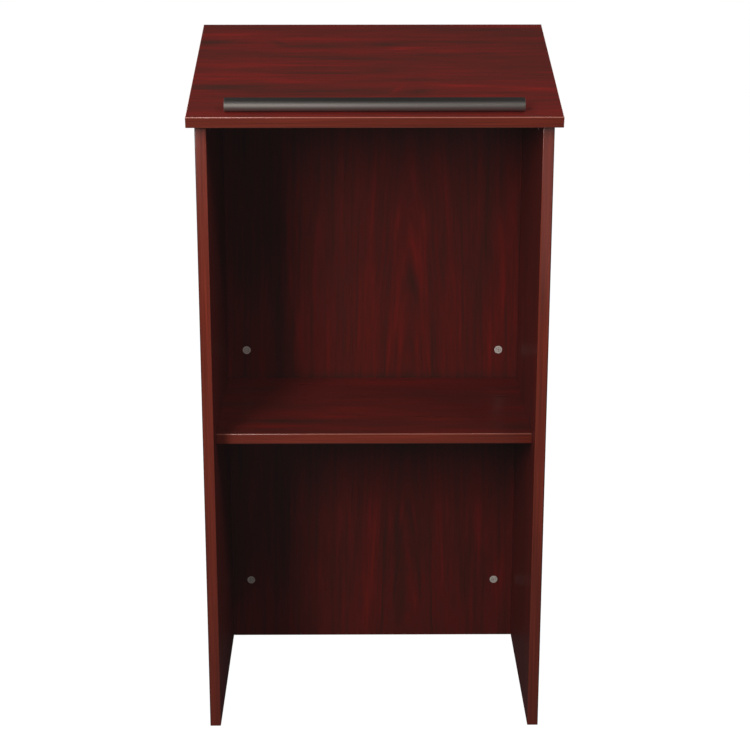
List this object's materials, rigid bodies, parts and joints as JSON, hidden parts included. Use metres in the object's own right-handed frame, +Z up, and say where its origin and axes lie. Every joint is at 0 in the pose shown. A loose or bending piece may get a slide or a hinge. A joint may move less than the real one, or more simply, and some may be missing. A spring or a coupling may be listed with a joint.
{
  "type": "presentation lectern",
  "caption": "Floor-standing laminate lectern with a sloping reading top, a book stop, side and back panels, an open front and a fixed inner shelf, held by cam locks.",
  "frame": {"origin": "on the floor, under the middle of the bounding box", "axes": "+Z up; +X to the right of the speaker, who stands on the open -Y side; +Y towards the audience and the back panel"},
  "size_m": [0.584, 0.4042, 1.1452],
  "materials": {
    "mahogany_laminate": "satin red-brown mahogany-grain laminate on particle board",
    "edge_band": "satin printed edge band, a little lighter and browner than the panels",
    "book_stop_plastic": "satin charcoal-grey extruded plastic",
    "cam_zinc": "cast zinc with a dull nickel plating",
    "bolt_steel": "zinc-plated steel",
    "screw_steel": "zinc-plated steel",
    "dowel_beech": "bare turned beech"
  },
  "bodies": {
    "cabinet": {"back_panel": "mahogany_laminate", "book_stop": "book_stop_plastic", "book_stop_screw_left": "screw_steel", "book_stop_screw_middle": "screw_steel", "book_stop_screw_right": "screw_steel", "cam_bolt_back_left_lower": "bolt_steel", "cam_bolt_back_left_middle": "bolt_steel", "cam_bolt_back_left_upper": "bolt_steel", "cam_bolt_back_right_lower": "bolt_steel", "cam_bolt_back_right_middle": "bolt_steel", "cam_bolt_back_right_upper": "bolt_steel", "cam_bolt_shelf_left_front": "bolt_steel", "cam_bolt_shelf_left_rear": "bolt_steel", "cam_bolt_shelf_right_front": "bolt_steel", "cam_bolt_shelf_right_rear": "bolt_steel", "cam_bolt_top_left_front": "bolt_steel", "cam_bolt_top_left_rear": "bolt_steel", "cam_bolt_top_right_front": "bolt_steel", "cam_bolt_top_right_rear": "bolt_steel", "dowel_back_left_lower": "dowel_beech", "dowel_back_left_upper": "dowel_beech", "dowel_back_right_lower": "dowel_beech", "dowel_back_right_upper": "dowel_beech", "dowel_shelf_left_middle": "dowel_beech", "dowel_shelf_right_middle": "dowel_beech", "dowel_top_left_front": "dowel_beech", "dowel_top_left_rear": "dowel_beech", "dowel_top_right_front": "dowel_beech", "dowel_top_right_rear": "dowel_beech", "left_side_front_band": "edge_band", "left_side_panel": "mahogany_laminate", "left_side_rear_band": "edge_band", "reading_top": "mahogany_laminate", "right_side_front_band": "edge_band", "right_side_panel": "mahogany_laminate", "right_side_rear_band": "edge_band", "shelf": "mahogany_laminate", "shelf_front_band": "edge_band", "top_front_band": "edge_band", "top_left_band": "edge_band", "top_rear_band": "edge_band", "top_right_band": "edge_band"},
    "cam_back_left_lower": {"cam_lock_back_left_lower": "cam_zinc"},
    "cam_back_left_middle": {"cam_lock_back_left_middle": "cam_zinc"},
    "cam_back_left_upper": {"cam_lock_back_left_upper": "cam_zinc"},
    "cam_back_right_lower": {"cam_lock_back_right_lower": "cam_zinc"},
    "cam_back_right_middle": {"cam_lock_back_right_middle": "cam_zinc"},
    "cam_back_right_upper": {"cam_lock_back_right_upper": "cam_zinc"},
    "cam_shelf_left_front": {"cam_lock_shelf_left_front": "cam_zinc"},
    "cam_shelf_left_rear": {"cam_lock_shelf_left_rear": "cam_zinc"},
    "cam_shelf_right_front": {"cam_lock_shelf_right_front": "cam_zinc"},
    "cam_shelf_right_rear": {"cam_lock_shelf_right_rear": "cam_zinc"},
    "cam_top_left_front": {"cam_lock_top_left_front": "cam_zinc"},
    "cam_top_left_rear": {"cam_lock_top_left_rear": "cam_zinc"},
    "cam_top_right_front": {"cam_lock_top_right_front": "cam_zinc"},
    "cam_top_right_rear": {"cam_lock_top_right_rear": "cam_zinc"}
  },
  "joints": [
    {"name": "turn_back_left_lower", "type": "hinge", "parent": "cabinet", "child": "cam_back_left_lower", "pos_m": [-0.2275, 0.17591, 0.113], "axis": [0, -1, 0], "range_deg": [0, 180]},
    {"name": "turn_back_left_middle", "type": "hinge", "parent": "cabinet", "child": "cam_back_left_middle", "pos_m": [-0.2275, 0.17591, 0.5635], "axis": [0, -1, 0], "range_deg": [0, 180]},
    {"name": "turn_back_left_upper", "type": "hinge", "parent": "cabinet", "child": "cam_back_left_upper", "pos_m": [-0.2275, 0.17591, 1.014], "axis": [0, -1, 0], "range_deg": [0, 180]},
    {"name": "turn_back_right_lower", "type": "hinge", "parent": "cabinet", "child": "cam_back_right_lower", "pos_m": [0.2275, 0.17591, 0.113], "axis": [0, -1, 0], "range_deg": [0, 180]},
    {"name": "turn_back_right_middle", "type": "hinge", "parent": "cabinet", "child": "cam_back_right_middle", "pos_m": [0.2275, 0.17591, 0.5635], "axis": [0, -1, 0], "range_deg": [0, 180]},
    {"name": "turn_back_right_upper", "type": "hinge", "parent": "cabinet", "child": "cam_back_right_upper", "pos_m": [0.2275, 0.17591, 1.014], "axis": [0, -1, 0], "range_deg": [0, 180]},
    {"name": "turn_shelf_left_front", "type": "hinge", "parent": "cabinet", "child": "cam_shelf_left_front", "pos_m": [-0.2275, -0.07609, 0.493], "axis": [0, 0, -1], "range_deg": [0, 180]},
    {"name": "turn_shelf_left_rear", "type": "hinge", "parent": "cabinet", "child": "cam_shelf_left_rear", "pos_m": [-0.2275, 0.12061, 0.493], "axis": [0, 0, -1], "range_deg": [0, 180]},
    {"name": "turn_shelf_right_front", "type": "hinge", "parent": "cabinet", "child": "cam_shelf_right_front", "pos_m": [0.2275, -0.07609, 0.493], "axis": [0, 0, -1], "range_deg": [0, 180]},
    {"name": "turn_shelf_right_rear", "type": "hinge", "parent": "cabinet", "child": "cam_shelf_right_rear", "pos_m": [0.2275, 0.12061, 0.493], "axis": [0, 0, -1], "range_deg": [0, 180]},
    {"name": "turn_top_left_front", "type": "hinge", "parent": "cabinet", "child": "cam_top_left_front", "pos_m": [-0.262, -0.10218, 1.02059], "axis": [1, 0, 0], "range_deg": [0, 180]},
    {"name": "turn_top_left_rear", "type": "hinge", "parent": "cabinet", "child": "cam_top_left_rear", "pos_m": [-0.262, 0.14281, 1.07828], "axis": [1, 0, 0], "range_deg": [0, 180]},
    {"name": "turn_top_right_front", "type": "hinge", "parent": "cabinet", "child": "cam_top_right_front", "pos_m": [0.262, -0.10218, 1.02059], "axis": [-1, 0, 0], "range_deg": [0, 180]},
    {"name": "turn_top_right_rear", "type": "hinge", "parent": "cabinet", "child": "cam_top_right_rear", "pos_m": [0.262, 0.14281, 1.07828], "axis": [-1, 0, 0], "range_deg": [0, 180]}
  ]
}
